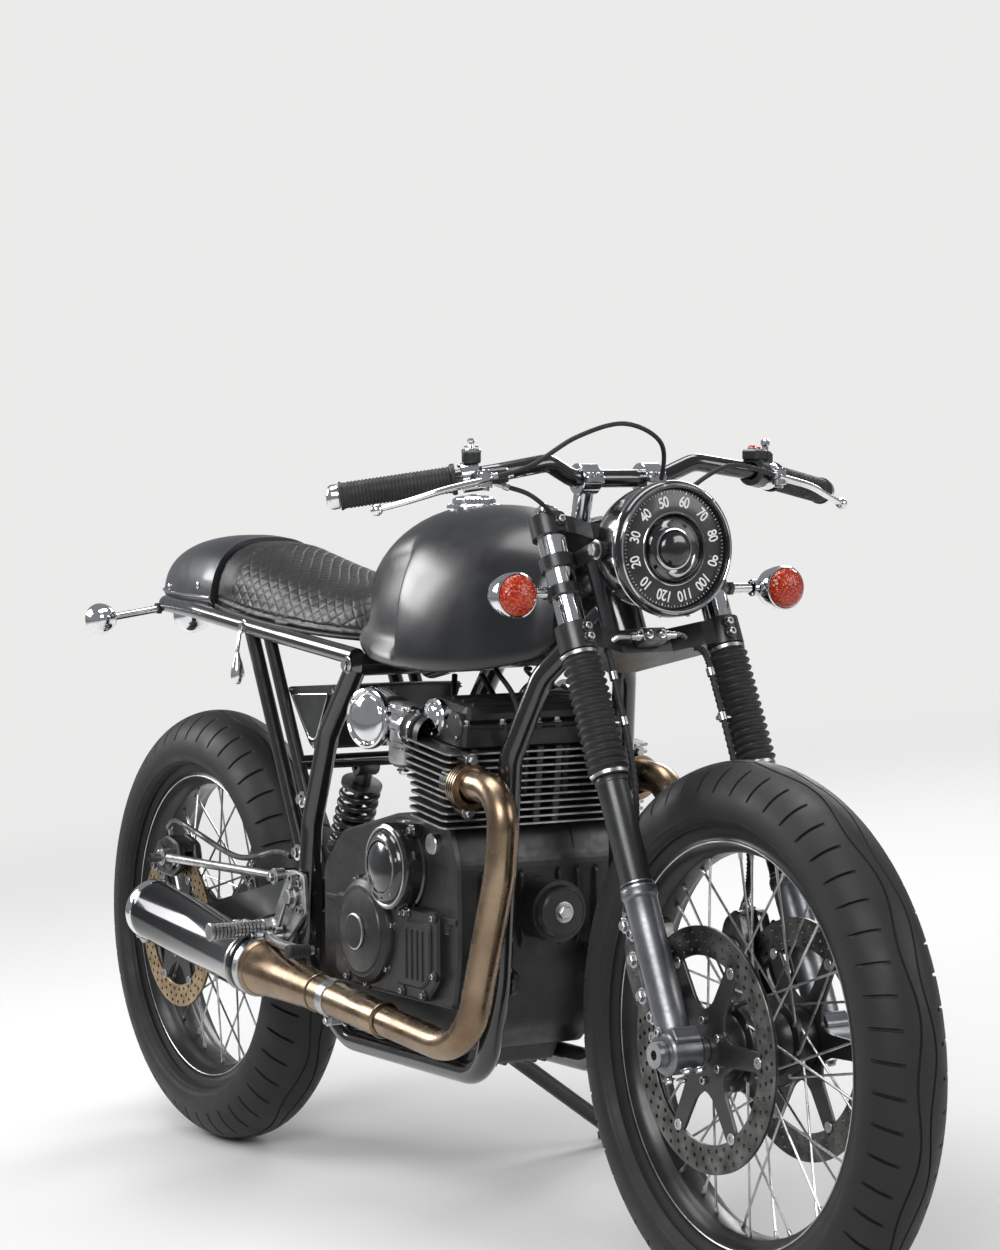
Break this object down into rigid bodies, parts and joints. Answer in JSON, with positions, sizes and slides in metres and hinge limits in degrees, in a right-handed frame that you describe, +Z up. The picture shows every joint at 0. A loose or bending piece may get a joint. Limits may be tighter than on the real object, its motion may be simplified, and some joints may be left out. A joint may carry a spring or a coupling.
{
  "type": "cafe racer motorcycle",
  "caption": "Cafe racer motorcycle leaning on its side stand, with wire wheels, low bar, finned engine and hump seat.",
  "frame": {"origin": "on the floor, at the bottom centre of the bounding box", "axes": "+X forward, +Y to the rider's left, +Z up; the motorcycle leans left on its side stand"},
  "size_m": [2.0517, 0.7356, 1.0556],
  "materials": {
    "gloss_black": "gloss",
    "satin_black": "satin",
    "cowl_grey": "satin",
    "chrome": "polished",
    "steel": "satin",
    "carb_alloy": "satin",
    "bronze": "brushed bronze tone",
    "disc_bronze": "brushed bronze tone",
    "dark_steel": "satin",
    "leg_grey": "satin",
    "black_alloy": "gloss",
    "tyre": "matte",
    "rubber": "matte",
    "leather": "quilted",
    "dial": "gloss",
    "lens_orange": "gloss",
    "lamp_chrome": "polished"
  },
  "bodies": {
    "chassis": {"frame_main": "gloss_black", "frame_cradle": "gloss_black", "subframe": "gloss_black", "swingarm": "gloss_black", "rear_axle_and_pivot": "steel", "rear_caliper": "dark_steel", "drive_chain": "steel", "crankcase": "satin_black", "cylinder_block": "satin_black", "cylinder_head": "satin_black", "crank_cover": "gloss_black", "engine_covers": "satin_black", "oil_filter": "satin_black", "carburettors": "carb_alloy", "headers": "bronze", "mufflers": "dark_steel", "fuel_tank": "satin_black", "filler_cap": "chrome", "seat_pad": "leather", "tail_cowl": "cowl_grey", "battery_box": "gloss_black", "rear_shock": "dark_steel", "rear_lamps": "lamp_chrome", "rearsets": "steel"},
    "steering": {"fork_clamps": "gloss_black", "fork_tubes": "chrome", "fork_gaiters": "rubber", "fork_legs": "leg_grey", "front_axle": "steel", "front_calipers": "dark_steel", "headlamp_shell": "gloss_black", "headlamp_dial": "dial", "handlebar": "black_alloy", "bar_clamps": "chrome", "grips": "rubber", "levers": "chrome", "front_indicators": "lens_orange"},
    "front_wheel": {"front_tyre": "tyre", "front_rim": "black_alloy", "front_hub": "black_alloy", "front_spokes": "steel", "front_discs": "dark_steel"},
    "rear_wheel": {"rear_tyre": "tyre", "rear_rim": "black_alloy", "rear_hub": "black_alloy", "rear_spokes": "steel", "rear_disc": "disc_bronze", "rear_sprocket": "steel"},
    "side_stand": {"side_stand": "gloss_black"}
  },
  "joints": [
    {"name": "steering", "type": "hinge", "parent": "chassis", "child": "steering", "pos_m": [0.40134, -0.01733, 0.83589], "axis": [-0.4226, 0.1261, 0.8975], "range_deg": [-30, 30]},
    {"name": "front_wheel_spin", "type": "hinge", "parent": "steering", "child": "front_wheel", "pos_m": [0.696, -0.08881, 0.3273], "axis": [0, 0.9903, -0.1392], "continuous": true},
    {"name": "rear_wheel_spin", "type": "hinge", "parent": "chassis", "child": "rear_wheel", "pos_m": [-0.704, -0.08991, 0.31947], "axis": [0, 0.9903, -0.1392], "continuous": true},
    {"name": "side_stand_fold", "type": "hinge", "parent": "chassis", "child": "side_stand", "pos_m": [-0.156, 0.0238, 0.19443], "axis": [0, 0.7027, 0.7115], "range_deg": [0, 95]}
  ]
}
